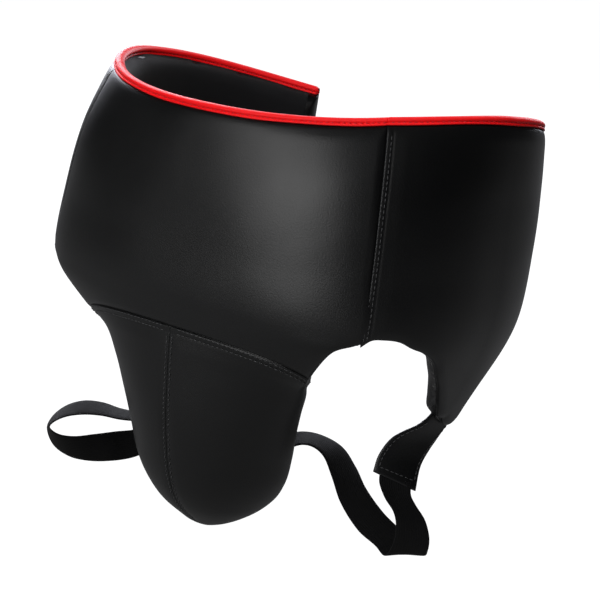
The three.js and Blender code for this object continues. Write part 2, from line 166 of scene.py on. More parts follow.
RIGHT_TAB_ROUTE = [
    [-159, -22, -222, 0.04, 0.76, -0.2],
    [-157, -21, -233, 0.08, 0.82, -0.2], [-155, -15, -242, 0.2, 0.9, -0.1],
    [-150.5, -6, -254, 0.33, 0.93, 0], [-146, 2, -266, 0.4, 0.91, 0.05], [-143, 6, -280, 0.4, 0.9, 0.12],
]
RIGHT_STRAP_ROUTE = [
    [-143.5, 5.5, -277, 0.38, 0.92, 0.13],
    [-142, 7, -285.5, 0.38, 0.92, 0.15], [-143, 6, -299, 0.2, 0.96, 0.45],
    [-142, 0, -312, 0.1, 0.98, 0.98], [-139, -15, -321, 0, 0.5, 1.03], [-137, -37, -323.5, -0.03, 0.05, 1],
    [-139, -63, -321.5, -0.1, 0.1, 1], [-151, -78.5, -323, 0.17, -0.06, 1.02],
    [-162, -90.5, -322.5, 0.47, -0.28, 0.92], [-169.5, -102, -316, 0.69, -0.45, 0.68],
    [-171.5, -109.5, -304.5, 0.72, -0.61, 0.37], [-166, -111, -295.5, 0.74, -0.66, 0.18],
    [-154, -108, -285, 0.74, -0.67, -0.02], [-139, -102.5, -278.5, 0.7, -0.67, -0.15],
    [-123, -96.5, -276.5, 0.67, -0.7, -0.13], [-107, -91, -277.5, 0.66, -0.72, -0.04],
    [-91, -80, -278, 0.52, -0.8, 0.05], [-74, -66, -276, 0.35, -0.9, 0.12],
    [-56, -59, -270, -0.05, -0.97, 0.06], [-40, -62, -268.5, -0.58, -0.74, -0.2],
    [-27, -72, -280, -0.78, -0.45, -0.37], [-15.5, -81, -292.5, -0.87, -0.22, -0.45],
    [-9.5, -86.5, -303, -0.87, -0.22, -0.45],
]
ANCHOR_ROUTE = [[0, -97, -324, 1, 0, 0], [0, -91, -313, 1.5, 0, 0], [0, -84.5, -299, 2.2, 0, 0]]
WAIST_STRAP_ROUTE = [
    [107, 111, -65, 0, 0, 1], [101.5, 121, -65, 0, 0, 1], [98, 128, -65, 0, 0, 1],
    [93.5, 133, -65, 0, 0, 1], [84, 139.5, -65.5, 0, 0, 1], [72, 146, -66, 0, 0, 1],
    [48, 155, -67, 0, 0, 1], [24, 160, -68, 0, 0, 1], [0, 162, -69, 0, 0, 1],
]
HOOK_PATCH_ROUTE = [
    [40, 154.3, -67.5, 0, 0, 1], [24, 157.5, -68, 0, 0, 1], [4, 159.3, -68.9, 0, 0, 1],
]
LOOP_PATCH_SPAN = [122, 142]
LOOP_PATCH_HEIGHTS = [-48, -84]


# ---- camera ----
CAMERA_AZIMUTH = 38
CAMERA_ELEVATION = 15
CAMERA_ROLL = 5
CAMERA_DISTANCE = 1.4
CAMERA_LENS = 105
CAMERA_TARGET = Vector((-0.0026, -0.0021, -0.1708))


def make_camera():
    azimuth, elevation, roll = map(math.radians, (CAMERA_AZIMUTH, CAMERA_ELEVATION, CAMERA_ROLL))
    forward = Vector((
        -math.sin(azimuth) * math.cos(elevation),
        math.cos(azimuth) * math.cos(elevation),
        -math.sin(elevation),
    ))
    level = Vector((math.cos(azimuth), math.sin(azimuth), 0))
    upright = level.cross(forward)
    right = math.cos(roll) * level + math.sin(roll) * upright
    up = -math.sin(roll) * level + math.cos(roll) * upright
    data = bpy.data.cameras.new("camera")
    data.lens = CAMERA_LENS
    camera = bpy.data.objects.new("camera", data)
    axes = Matrix((right, up, -forward)).transposed()
    camera.matrix_world = Matrix.Translation(CAMERA_TARGET - CAMERA_DISTANCE * forward) @ axes.to_4x4()
    bpy.context.scene.collection.objects.link(camera)
    bpy.context.scene.camera = camera


make_camera()


# ---- interpolation ----
def table_value(table, column, at):
    """Smooth curve through the rows of a table whose first column rises."""
    rows = np.array(table, float)
    x, y = rows[:, 0], rows[:, column]
    slopes = np.diff(y) / np.diff(x)
    tangents = np.concatenate([slopes[:1], (slopes[:-1] + slopes[1:]) / 2, slopes[-1:]])
    i = np.clip(np.searchsorted(x, at) - 1, 0, len(x) - 2)
    step = x[i + 1] - x[i]
    t = (at - x[i]) / step
    return (
        (2 * t**3 - 3 * t**2 + 1) * y[i] + (t**3 - 2 * t**2 + t) * step * tangents[i]
        + (3 * t**2 - 2 * t**3) * y[i + 1] + (t**3 - t**2) * step * tangents[i + 1]
    )


def signed_power(value, power):
    return np.sign(value) * np.abs(value) ** power


def unit(vectors):
    return vectors / np.maximum(np.linalg.norm(vectors, axis=-1, keepdims=True), 1e-9)


def smooth_step(value, start, end):
    t = np.clip((value - start) / (end - start), 0, 1)
    return t * t * (3 - 2 * t)


def lerp(a, b, t):
    return a + (b - a) * t


# ---- base surfaces ----
def belt_point(degrees, height):
    columns = (table_value(BELT_SECTIONS, column, height) for column in range(1, 5))
    half_width, front_y, centre_y, squareness = columns
    side, forward = np.sin(np.radians(degrees)), np.cos(np.radians(degrees))
    power = np.where(forward > 0, 2 / squareness, 1)
    depth = (centre_y - front_y) * np.where(forward > 0, 1, REAR_STRETCH)
    return np.stack([
        half_width * signed_power(side, power),
        centre_y - depth * signed_power(forward, power),
        height + 0 * side,
    ], axis=-1)


def rim_height(degrees):
    angle = np.radians(degrees)
    return -REAR_DROP * (1 - np.cos(angle)) + HIP_RISE * (1 - np.cos(2 * angle))


def belt_row(down, seam_height):
    edge = belt_point(np.array(float(SEAM_ANGLE)), np.array(float(seam_height)))
    front_y, squareness = (float(table_value(BELT_SECTIONS, c, -down)) for c in (2, 4))
    return [down, front_y, *edge, SEAM_ANGLE, squareness]


FRONT_ROWS = [belt_row(*row) for row in BELT_ROW_DEPTHS] + LOWER_ROWS


def front_point(across, down):
    columns = (table_value(FRONT_ROWS, column, down) for column in range(1, 7))
    centre_y, edge_x, edge_y, edge_z, wrap, squareness = columns
    power = 2 / squareness
    edge_forward = signed_power(np.cos(np.radians(wrap)), power)
    middle_y = (edge_y - centre_y * edge_forward) / (1 - edge_forward)
    half_width = edge_x / np.sin(np.radians(wrap)) ** power
    angle = np.radians(wrap * np.abs(across))
    return np.stack([
        np.sign(across) * half_width * np.sin(angle) ** power,
        middle_y - (middle_y - centre_y) * signed_power(np.cos(angle), power),
        -down + (edge_z + down) * across * across,
    ], axis=-1)


# ---- patches: functions of u, across, and v, down, both from 0 to 1 ----
def front_patch(u, v):
    return front_point(2 * u - 1, lerp(TOP_MARGIN, CUP_SEAM_ROW, v))


def cup_patch(u, v):
    return front_point(2 * u - 1, lerp(CUP_SEAM_ROW, CUP_BOTTOM_ROW, v))


def left_wing_patch(u, v):
    degrees = lerp(SEAM_ANGLE, REAR_ANGLE, u)
    top = rim_height(degrees) - TOP_MARGIN
    return belt_point(degrees, lerp(top, table_value(WING_LOWER_EDGE, 1, degrees), v))


def right_wing_patch(u, v):
    return left_wing_patch(1 - u, v) * np.array([-1, 1, 1])


def loop_tape_patch(u, v):
    degrees = lerp(LOOP_PATCH_SPAN[1], LOOP_PATCH_SPAN[0], u)
    return belt_point(degrees, lerp(*LOOP_PATCH_HEIGHTS, v)) * np.array([-1, 1, 1])


def outward(patch, u, v):
    step = 0.002
    across = patch(np.minimum(u + step, 1), v) - patch(np.maximum(u - step, 0), v)
    down = patch(u, np.minimum(v + step, 1)) - patch(u, np.maximum(v - step, 0))
    return unit(np.cross(down, across))


# ---- padded edges: depth below the full thickness, by distance in from the edge ----
def roll(inset, depth, reach, start=0, squareness=2):
    fade = 1 - np.clip((inset - start) / reach, 0, 1)
    return depth * (1 - (1 - fade**squareness) ** (1 / squareness))


def dip(inset, middle, depth, width):
    return depth * np.exp(-((inset - middle) / width) ** 2)


def free_edge(thickness):
    lift = thickness / 2 - EDGE_LIFT
    return {
        "free": True,
        "outer": lambda inset: roll(inset, lift, reach=8, squareness=2.6),
        "inner": lambda inset: roll(inset, thickness - lift, reach=8.5, squareness=3),
    }


RIM_DEPTH = PAD_THICKNESS / 2 - EDGE_LIFT - RIM_THICKNESS / 2
RIM_INNER_DEPTH = PAD_THICKNESS - RIM_DEPTH - RIM_THICKNESS
RIM_EDGE = {
    "free": False,
    "outer": lambda inset: roll(inset, RIM_DEPTH, reach=13, start=BINDING_HEIGHT),
    "inner": lambda inset: roll(inset, RIM_INNER_DEPTH, reach=14, start=BINDING_HEIGHT),
}
SEAM_DEPTH = 1.9
INNER_SEAM_DEPTH = 5
INNER_SEAM_REACH = 9


def inner_seam(inset):
    return roll(inset, INNER_SEAM_DEPTH, INNER_SEAM_REACH)


# The side of a seam that slopes into it
PLAIN_SEAM = {
    "free": False,
    "outer": lambda inset: roll(inset, SEAM_DEPTH, reach=6),
    "inner": inner_seam,
}
LAP_DEPTH = 0.5           # how far the lapped side lies below the full thickness beside its seam


def lapped_seam(inset):
    stitched = dip(inset, SEAM_ROW_INSET, depth=0.3, width=1.1)
    risen = smooth_step(inset, SEAM_ROW_INSET + 1, SEAM_ROW_INSET + 11)
    return LAP_DEPTH + roll(inset, SEAM_DEPTH - LAP_DEPTH, reach=1.1) + stitched - LAP_DEPTH * risen


# The side with the folded allowance underneath: it stands up at the seam and dips at the stitches
LAPPED_SEAM = {"free": False, "outer": lapped_seam, "inner": inner_seam}


def centre_seam(inset):
    stitched = dip(inset, CENTRE_ROW_INSET, depth=0.35, width=0.9)
    risen = smooth_step(inset, CENTRE_ROW_INSET, CENTRE_ROW_INSET + 6)
    return roll(inset, 0.9, reach=1.0) + stitched + 0.3 * (1 - risen)


CENTRE_SEAM = {
    "free": False,
    "outer": centre_seam,
    "inner": lambda inset: roll(inset, 0.2, reach=2),
}

EDGE_SAMPLES = 1500
EDGE_TOLERANCE = 0.15     # a point this near to an edge lies on it
MITRE = 5                 # how sharply two edges meet at a corner of a pad
THINNEST = 0.3            # what a pad's two faces keep between them at its edges


class Pad:
    """A padded panel: a patch, its thickness, and edges as (curve of u and v, edge kind)."""

    def __init__(self, patch, thickness, edges):
        self.patch = patch
        self.thickness = thickness
        self.edges = []
        for curve, kind in edges:
            t = np.linspace(0, 1, EDGE_SAMPLES)
            u, v = curve(t)
            tree = KDTree(EDGE_SAMPLES)
            for i, point in enumerate(patch(u + 0 * t, v + 0 * t)):
                tree.insert(point, i)
            tree.balance()
            self.edges.append((tree, kind))

    def section(self, u, v):
        """Patch points, outward directions, depths of cover and lining, and distance from the free edges."""
        u, v = np.broadcast_arrays(u, v)
        points = self.patch(u, v)
        flat = points.reshape(-1, 3)
        outer = np.zeros(len(flat))
        inner = np.zeros(len(flat))
        free_inset = np.full(len(flat), 1e3)
        for tree, kind in self.edges:
            inset = np.maximum([tree.find(point)[2] - EDGE_TOLERANCE for point in flat], 0)
            outer += np.maximum(kind["outer"](inset), 0) ** MITRE
            inner += np.maximum(kind["inner"](inset), 0) ** MITRE
            if kind["free"]:
                free_inset = np.minimum(free_inset, inset)
        shape = points.shape[:-1]
        outer = outer.reshape(shape) ** (1 / MITRE)
        inner = inner.reshape(shape) ** (1 / MITRE)
        inner = np.minimum(inner, self.thickness - outer - THINNEST)
        return points, outward(self.patch, u, v), outer, inner, free_inset.reshape(shape)

    def cover_points(self, u, v):
        """Points on the leather and the outward direction there."""
        points, normals, outer, _, _ = self.section(u, v)
        return points - normals * outer[..., None], normals


def unevenness(points):
    """Gentle swells that hand-laid foam leaves in the leather, in millimetres."""
    x, y, z = (points[..., i] for i in range(3))
    broad = np.sin(x / 23 + z / 31 + 0.7) * np.sin(z / 27 - y / 37 + 1.9)
    fine = np.sin(x / 9.5 - z / 13 + y / 11) * np.sin(z / 10.5 + y / 12.5 + 0.4)
    return 0.26 * broad + 0.06 * fine


# ---- mesh building ----
def make_object(name, vertices, faces, material, cloth=None):
    """An object from millimetre vertices. cloth holds each vertex's place on the cut sheet."""
    mesh = bpy.data.meshes.new(name)
    mesh.from_pydata((np.asarray(vertices) * MM).tolist(), [], [list(map(int, f)) for f in faces])
    if cloth is not None:
        attribute = mesh.attributes.new("cloth", "FLOAT_VECTOR", "POINT")
        attribute.data.foreach_set("vector", (np.asarray(cloth) * MM).astype(np.float32).ravel())
    edit = bmesh.new()
    edit.from_mesh(mesh)
    bmesh.ops.recalc_face_normals(edit, faces=edit.faces)
    edit.to_mesh(mesh)
    edit.free()
    mesh.polygons.foreach_set("use_smooth", [True] * len(mesh.polygons))
    mesh.materials.append(material)
    piece = bpy.data.objects.new(name, mesh)
    bpy.context.scene.collection.objects.link(piece)
    return piece


def grid_faces(rows, columns, start=0):
    index = start + np.arange(rows * columns).reshape(rows, columns)
    return np.stack([index[:-1, :-1], index[1:, :-1], index[1:, 1:], index[:-1, 1:]], axis=-1).reshape(-1, 4)


def closed_grid(name, front, back, material, size):
    """A closed slab between two grids of points. size is the patch's width and height."""
    rows, columns = front.shape[:2]
    count = rows * columns
    index = np.arange(count).reshape(rows, columns)
    border = np.concatenate([index[0, :-1], index[:-1, -1], index[-1, :0:-1], index[:0:-1, 0]])
    following = np.roll(border, -1)
    walls = np.stack([border, following, following + count, border + count], axis=-1)
    faces = np.concatenate([grid_faces(rows, columns), grid_faces(rows, columns, count)[:, ::-1], walls])
    across, down = np.meshgrid(np.linspace(0, size[0], columns), np.linspace(0, size[1], rows))
    place = np.stack([across, down, 0 * down], axis=-1).reshape(-1, 3)
    vertices = np.concatenate([front.reshape(-1, 3), back.reshape(-1, 3)])
    return make_object(name, vertices, faces, material, np.concatenate([place, place]))


def loft(name, loops, material, cloth):
    """A closed solid through loops of points, with flat ends."""
    count, corners = loops.shape[:2]
    index = np.arange(count * corners).reshape(count, corners)
    following = np.roll(index, -1, axis=1)
    sides = np.stack([index[:-1], following[:-1], following[1:], index[1:]], axis=-1).reshape(-1, 4)
    faces = [*sides, index[0][::-1], index[-1]]
    return make_object(name, loops.reshape(-1, 3), faces, material, cloth.reshape(-1, 3))


def polyline_length(points):
    return np.concatenate([[0], np.cumsum(np.linalg.norm(np.diff(points, axis=0), axis=1))])


def resample(values, lengths, at):
    return np.stack([np.interp(at, lengths, values[:, i]) for i in range(values.shape[1])], axis=-1)


def stitches(name, rows, material, thread=THREAD, proud=0.3):
    """Thread along rows of (points, outward directions): each stitch rises from its hole and dives back."""
    sides, sections = 6, 7
    t = np.linspace(0, 1, sections)
    rise = proud * np.sin(np.pi * t) ** 0.6 - thread * 0.5 * (1 - np.sin(np.pi * t) ** 0.5)
    radius = thread / 2 * (0.55 + 0.45 * np.sin(np.pi * t) ** 0.5)
    angle = np.arange(sides) * 2 * np.pi / sides
    vertices, faces = [], []
    for points, normals in rows:
        lengths = polyline_length(points)
        number = int(lengths[-1] // STITCH_PITCH)
        spare = (lengths[-1] - (number - 1) * STITCH_PITCH - STITCH_LENGTH) / 2
        for k in range(number):
            at = spare + k * STITCH_PITCH + STITCH_LENGTH * t
            middle, normal = resample(points, lengths, at), unit(resample(normals, lengths, at))
            along = unit(np.gradient(middle, axis=0))
            across = np.cross(along, normal)
            middle = middle + normal * rise[:, None]
            cos, sin = np.cos(angle)[None, :, None], np.sin(angle)[None, :, None]
            ring = middle[:, None] + radius[:, None, None] * (cos * across[:, None] + sin * normal[:, None])
            index = len(vertices) * sections * sides + np.arange(sections * sides).reshape(sections, sides)
            following = np.roll(index, -1, axis=1)
            sheath = np.stack([index[:-1], following[:-1], following[1:], index[1:]], axis=-1)
            faces += [*sheath.reshape(-1, 4), index[0][::-1], index[-1]]
            vertices.append(ring.reshape(-1, 3))
    return make_object(name, np.concatenate(vertices), faces, material)


# ---- materials ----
# Places of the colour sockets on a mix node, whose sockets share their names
MIX_FACTOR, MIX_FIRST_COLOUR, MIX_SECOND_COLOUR, MIX_RESULT_COLOUR = 0, 6, 7, 2


class Material:
    """A node material with a Principled shader and small helpers for the nodes that feed it."""

    def __init__(self, name, sockets):
        self.material = bpy.data.materials.new(name)
        self.material.use_nodes = True
        self.tree = self.material.node_tree
        self.shader = self.tree.nodes["Principled BSDF"]
        for socket, value in sockets.items():
            self.shader.inputs[socket].default_value = value

    def node(self, kind, inputs=(), **settings):
        made = self.tree.nodes.new(kind)
        for setting, value in settings.items():
            setattr(made, setting, value)
        for socket, value in dict(inputs).items():
            if isinstance(value, bpy.types.NodeSocket):
                self.tree.links.new(value, made.inputs[socket])
            else:
                made.inputs[socket].default_value = value
        return made

    def position(self):
        return self.node("ShaderNodeTexCoord").outputs["Object"]

    def cloth_place(self):
        return self.node("ShaderNodeAttribute", attribute_name="cloth").outputs["Vector"]

    def noise(self, vector, scale, detail=3.0):
        made = self.node("ShaderNodeTexNoise", {"Vector": vector, "Scale": scale, "Detail": detail})
        return made.outputs["Fac"]

    def cells(self, vector, scale, feature="F1"):
        made = self.node("ShaderNodeTexVoronoi", {"Vector": vector, "Scale": scale}, feature=feature)
        return made.outputs["Distance"]

    def math(self, operation, a, b=0.0):
        return self.node("ShaderNodeMath", {0: a, 1: b}, operation=operation).outputs[0]

    def spread(self, value, low, high, start=0.3, end=0.7):
        inputs = {"Value": value, "From Min": start, "From Max": end, "To Min": low, "To Max": high}
        return self.node("ShaderNodeMapRange", inputs).outputs["Result"]

    def colour(self, factor, dark, light):
        inputs = {MIX_FACTOR: factor, MIX_FIRST_COLOUR: (*dark, 1), MIX_SECOND_COLOUR: (*light, 1)}
        return self.node("ShaderNodeMix", inputs, data_type="RGBA").outputs[MIX_RESULT_COLOUR]

    def wave(self, coordinate, period):
        """A rounded ridge for every period of a coordinate in metres, from 0 to 1."""
        turns = self.math("MULTIPLY", coordinate, 2 * math.pi / period)
        return self.math("MULTIPLY_ADD", self.math("SINE", turns), 0.5)

    def finish(self, colour, roughness, height, distance, strength):
        links = self.tree.links
        links.new(colour, self.shader.inputs["Base Color"])
        links.new(roughness, self.shader.inputs["Roughness"])
        bump = self.node("ShaderNodeBump", {"Height": height, "Distance": distance, "Strength": strength})
        links.new(bump.outputs["Normal"], self.shader.inputs["Normal"])
        return self.material


def leather_material(name, dark, light, rough=(0.36, 0.47), grain=1.0, specular=0.5):
    """Smooth synthetic leather: fine pebble grain, faint creases, uneven polish, lighter worn ridges."""
    made = Material(name, {"Specular IOR Level": specular})
    place = made.position()
    pebble = made.cells(place, 950, "SMOOTH_F1")
    crease = made.cells(place, 420, "DISTANCE_TO_EDGE")
    height = made.math("ADD", made.math("MULTIPLY", pebble, 0.7), made.spread(crease, 0, 0.35, 0, 0.12))
    polish = made.noise(place, 9, 4)
    wear = made.node("ShaderNodeNewGeometry").outputs["Pointiness"]
    worn = made.math("ADD", made.spread(wear, 0, 1, 0.5, 0.62), made.spread(polish, -0.15, 0.15))
    colour = made.colour(worn, dark, light)
    return made.finish(colour, made.spread(polish, *rough), height, 0.00012 * grain, 0.5)


def weave_material(name, dark, light, across_period, along_period, depth, rough=(0.7, 0.85), sheen=0.15):
    """Woven cloth: ribs along the piece crossed by weft, with uneven yarn and a little fuzz."""
    made = Material(name, {"Sheen Weight": sheen, "Sheen Roughness": 0.5, "Specular IOR Level": 0.2})
    place = made.cloth_place()
    parts = made.node("ShaderNodeSeparateXYZ", {"Vector": place}).outputs
    ribs = made.wave(parts["X"], across_period)
    weft = made.wave(parts["Y"], along_period)
    weave = made.math("ADD", made.math("MULTIPLY", ribs, 0.6), made.math("MULTIPLY", weft, 0.4))
    yarn = made.noise(place, 1400, 2)
    height = made.math("ADD", weave, made.math("MULTIPLY", yarn, 0.35))
    fade = made.noise(place, 30, 3)
    tone = made.math("ADD", made.math("MULTIPLY", weave, 0.7), made.spread(fade, -0.1, 0.25))
    return made.finish(made.colour(tone, dark, light), made.spread(fade, *rough), height, depth, 0.6)


def thread_material(name, dark, light):
    """Twisted sewing thread, slightly waxed."""
    made = Material(name, {})
    place = made.position()
    ply = made.cells(place, 2600)
    tone = made.noise(place, 260, 2)
    return made.finish(made.colour(tone, dark, light), made.spread(tone, 0.42, 0.6), ply, 0.0001, 0.4)


def tape_material(name, cell_scale, depth):
    """Hook or loop tape: a dense field of stubble."""
    made = Material(name, {"Sheen Weight": 0.3})
    place = made.cloth_place()
    field = made.cells(place, cell_scale)
    fuzz = made.noise(place, cell_scale * 1.7, 4)
    height = made.math("ADD", field, fuzz)
    colour = made.colour(made.spread(height, 0, 1), (0.006, 0.006, 0.007), (0.035, 0.035, 0.038))
    return made.finish(colour, made.spread(fuzz, 0.8, 0.95), height, depth, 0.8)


def plastic_material(name):
    """Moulded polypropylene of the cup shell, with a satin texture and faint flow marks."""
    made = Material(name, {})
    place = made.position()
    satin = made.noise(place, 1500, 2)
    flow = made.noise(place, 18, 4)
    colour = made.colour(made.spread(flow, 0, 1), (0.62, 0.61, 0.57), (0.72, 0.71, 0.67))
    return made.finish(colour, made.spread(flow, 0.34, 0.45), satin, 0.00005, 0.3)


BLACK_LEATHER = leather_material("black_leather", (0.0012, 0.0013, 0.0015), (0.0048, 0.005, 0.0056))
RED_LEATHER = leather_material(
    "red_leather", (0.8, 0.003, 0.005), (0.93, 0.007, 0.011), rough=(0.46, 0.56), grain=0.8, specular=0.22)
LINING_CLOTH = weave_material(
    "lining_cloth", (0.0015, 0.0015, 0.002), (0.008, 0.008, 0.009),
    across_period=0.0011, along_period=0.0011, depth=0.00015)
ELASTIC = weave_material(
    "elastic_webbing", (0.0004, 0.0004, 0.0005), (0.0028, 0.0028, 0.0032),
    across_period=0.0018, along_period=0.0009, depth=0.0003, rough=(0.75, 0.9), sheen=0.04)
GREY_THREAD = thread_material("grey_thread", (0.02, 0.02, 0.022), (0.07, 0.07, 0.073))
RED_THREAD = thread_material("red_thread", (0.42, 0.002, 0.006), (0.62, 0.004, 0.01))
HOOK_TAPE = tape_material("hook_tape", 900, 0.0004)
LOOP_TAPE = tape_material("loop_tape", 1500, 0.0005)
SHELL_PLASTIC = plastic_material("shell_plastic")


# ---- side seam places, and hiding the CAD parts each piece replaces ----
SEAM_MIDDLE_HEIGHT = -70.0
PAST_SEAM_ANGLE = 62.0    # a place on the wing that gives the direction away from the side seam


def seam_blend_points(side):
    """Start and end of the bend across a side seam; side is 1 on the left and -1 on the right."""
    joint = next(j for j in frame["joints"] if j["name"].startswith("left" if side > 0 else "right"))
    axis = np.array(joint["axis"])
    seam_place, wing_place = (
        belt_point(np.array(float(degrees)), np.array(SEAM_MIDDLE_HEIGHT))
        for degrees in (SEAM_ANGLE, PAST_SEAM_ANGLE)
    )
    toward = (wing_place - seam_place) * np.array([side, 1, 1])
    toward = unit(toward - axis * (toward @ axis))
    seam = np.array(joint["pos_m"])
    return seam + toward * BLEND_START * MM, seam + toward * (BLEND_START + BLEND_LENGTH) * MM


def bend_at_side_seam(piece, side):
    start, end = seam_blend_points(side)
    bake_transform(piece)
    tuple(start)
    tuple(end)


def stand_for(piece, slot, *nodes):
    if nodes:
        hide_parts(*nodes)


# ---- pads ----
def edge(u=None, v=None, span=(0, 1)):
    """A curve along one side of a patch, with u or v held at a value."""
    start, end = span
    if u is None:
        return lambda t: (lerp(start, end, t), v)
    return lambda t: (u, lerp(start, end, t))


FREE = free_edge(PAD_THICKNESS)
CUP_FREE = free_edge(CUP_THICKNESS)
SIDE_SEAM_SHARE = (SIDE_SEAM_END - TOP_MARGIN) / (CUP_SEAM_ROW - TOP_MARGIN)

FRONT_PAD = Pad(front_patch, PAD_THICKNESS, [
    (edge(v=0), RIM_EDGE),
    (edge(v=1), PLAIN_SEAM),
    (edge(u=0, span=(0, SIDE_SEAM_SHARE)), PLAIN_SEAM),
    (edge(u=1, span=(0, SIDE_SEAM_SHARE)), PLAIN_SEAM),
    (edge(u=0, span=(SIDE_SEAM_SHARE, 1)), FREE),
    (edge(u=1, span=(SIDE_SEAM_SHARE, 1)), FREE),
])
LEFT_WING_PAD = Pad(left_wing_patch, PAD_THICKNESS, [
    (edge(v=0), RIM_EDGE), (edge(v=1), FREE), (edge(u=0), LAPPED_SEAM), (edge(u=1), FREE),
])
RIGHT_WING_PAD = Pad(right_wing_patch, PAD_THICKNESS, [
    (edge(v=0), RIM_EDGE), (edge(v=1), FREE), (edge(u=1), LAPPED_SEAM), (edge(u=0), FREE),
])
CUP_PAD = Pad(cup_patch, CUP_THICKNESS, [
    (edge(v=0), LAPPED_SEAM), (edge(v=1), CUP_FREE), (edge(u=0), CUP_FREE), (edge(u=1), CUP_FREE),
    (edge(u=0.5), CENTRE_SEAM),
])

LINING_THICKNESS = 1.4
LINING_START = 8          # the leather turns over the edge and the lining begins this far in
LINING_PROUD = 0.7        # how far the lining stands out from the back of the pad
LINING_SUNK = 0.8         # how far it lies below the turned leather
LINING_TAPER = 1.5        # from the edge itself to where it has that depth and its full thickness


def crowded(start, end, count):
    """Grid lines between two values, crowded towards both ends."""
    return lerp(start, end, 0.5 - 0.5 * np.cos(np.pi * np.linspace(0, 1, count)))


def evened(start, end, count):
    """Grid lines between two values, a little crowded towards both ends."""
    t = np.linspace(0, 1, count)
    return lerp(start, end, 0.35 * (0.5 - 0.5 * np.cos(np.pi * t)) + 0.65 * t)


def padded_cover(name, pad, us, vs, size):
    """The leather with the foam inside it: one crowned closed form."""
    u, v = np.meshgrid(us, vs)
    points, normals, outer, inner, free_inset = pad.section(u, v)
    swell = unevenness(points) * smooth_step(free_inset, 0, 12) * smooth_step(outer, 0.6, 0)
    front = points + normals * (swell - outer)[..., None]
    back = points + normals * (inner - pad.thickness)[..., None]
    piece = closed_grid(name, front, back, BLACK_LEATHER, size)
    return piece


def lining(name, pad, us, vs, size):
    """The lining: it lies on the back of the pad and dives under the turned leather at free edges."""
    u, v = np.meshgrid(us, vs)
    points, normals, _, inner, free_inset = pad.section(u, v)
    settled = smooth_step(free_inset, 0, LINING_TAPER)
    showing = smooth_step(free_inset, LINING_START - 1, LINING_START + 2)
    proud = lerp(lerp(-0.1, -LINING_SUNK, settled), LINING_PROUD, showing)
    proud = proud + 0.25 * settled * unevenness(points * 1.7)
    thickness = lerp(0.08, LINING_THICKNESS, settled)
    top = points + normals * (inner - pad.thickness - proud)[..., None]
    under = points + normals * (inner - pad.thickness - proud + thickness)[..., None]
    piece = closed_grid(name, under, top, LINING_CLOTH, size)
    downward, sideways = points[1:, :-1] - points[:-1, :-1], points[:-1, 1:] - points[:-1, :-1]
    area = float(np.linalg.norm(np.cross(downward, sideways), axis=-1).sum()) * MM * MM
    return piece


# Width and height of each panel's cut cloth and leather
FRONT_SIZE = (330, 180)
WING_SIZE = (345, 245)
CUP_SIZE = (270, 190)


def build_front():
    us, vs = crowded(0, 1, 190), crowded(0, 1, 110)
    cover = padded_cover("front_leather", FRONT_PAD, us, vs, FRONT_SIZE)
    stand_for(cover, "black_leather", "front_cover", "front_padding")
    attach(cover, "root")
    cloth = lining("front_lining_cloth", FRONT_PAD, us[::2], vs[::2], FRONT_SIZE)
    stand_for(cloth, "lining", "front_lining")
    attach(cloth, "root")


def build_cup():
    vs = crowded(0, 1, 130)
    for side, (start, end) in {"right": (0, 0.5), "left": (0.5, 1)}.items():
        us = crowded(start, end, 110)
        cover = padded_cover(f"cup_{side}_leather", CUP_PAD, us, vs, (CUP_SIZE[0] / 2, CUP_SIZE[1]))
        stand_for(cover, "black_leather", f"cup_cover_{side}")
        if side == "right":
            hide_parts("cup_padding")
        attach(cover, "root")
    cloth = lining("cup_lining_cloth", CUP_PAD, crowded(0, 1, 121), vs[::2], CUP_SIZE)
    stand_for(cloth, "lining", "cup_lining")
    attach(cloth, "root")
    shell = frame["nodes"]["cup_shell"]
    shell.data.materials.clear()
    shell.data.materials.append(SHELL_PLASTIC)


def build_wing(side):
    name, pad = ("left_wing", LEFT_WING_PAD) if side > 0 else ("right_wing", RIGHT_WING_PAD)
    us, vs = evened(0, 1, 300), crowded(0, 1, 110)
    cover = padded_cover(f"{name}_leather", pad, us, vs, WING_SIZE)
    stand_for(cover, "black_leather", f"{name}_cover", f"{name}_padding")
    bend_at_side_seam(cover, side)
    cloth = lining(f"{name}_lining_cloth", pad, us[::2], vs[::2], WING_SIZE)
    stand_for(cloth, "lining", f"{name}_lining")
    bend_at_side_seam(cloth, side)


# ---- binding ----
# Outline of one half: [distance from the middle of the edge, distance down], from hem to crown
BINDING_HALF = [
    [2.5, 5.3], [3.2, 5.5], [3.7, 5.2], [3.85, 4.75], [3.8, 4.3], [3.55, 3.85], [3.1, 3.4], [3.55, 2.95],
    [3.85, 2.45], [3.95, 1.8], [3.85, 1.1], [3.5, 0.4], [2.9, -0.25], [2.05, -0.8], [1.05, -1.15], [0, -1.3],
]
BINDING_INSIDE = [[-2.5, -0.5], [2.5, -0.5]]
BINDING_FLANK = 2.6       # the outline's points further out than this face outward or inward
BINDING_STEP = 0.8
HEM_SPAN = (3.8, 5.2)     # distance down at which the waver of the hem begins and is full
GROOVE_HALF_WIDTH = 0.55
GROOVE_PULL = 0.28        # how far the thread pulls the strip in, on average along the groove
THREAD_ROW_OFFSET = 3.0   # from the middle of the edge to the row of stitches on each face
TUCK_LENGTH = 3.0


def binding_profile():
    """The strip's outline in section, and how far each of its points lies in the groove and on the hem."""
    half = np.array(BINDING_HALF)
    mirrored = half[-2::-1] * [-1, 1]
    profile = np.concatenate([half, mirrored, BINDING_INSIDE])
    on_flank = np.abs(profile[:, 0]) > BINDING_FLANK
    in_groove = np.exp(-((profile[:, 1] - GROOVE_DROP) / GROOVE_HALF_WIDTH) ** 2) * on_flank
    on_hem = smooth_step(profile[:, 1], *HEM_SPAN) * on_flank
    return profile, in_groove, on_hem


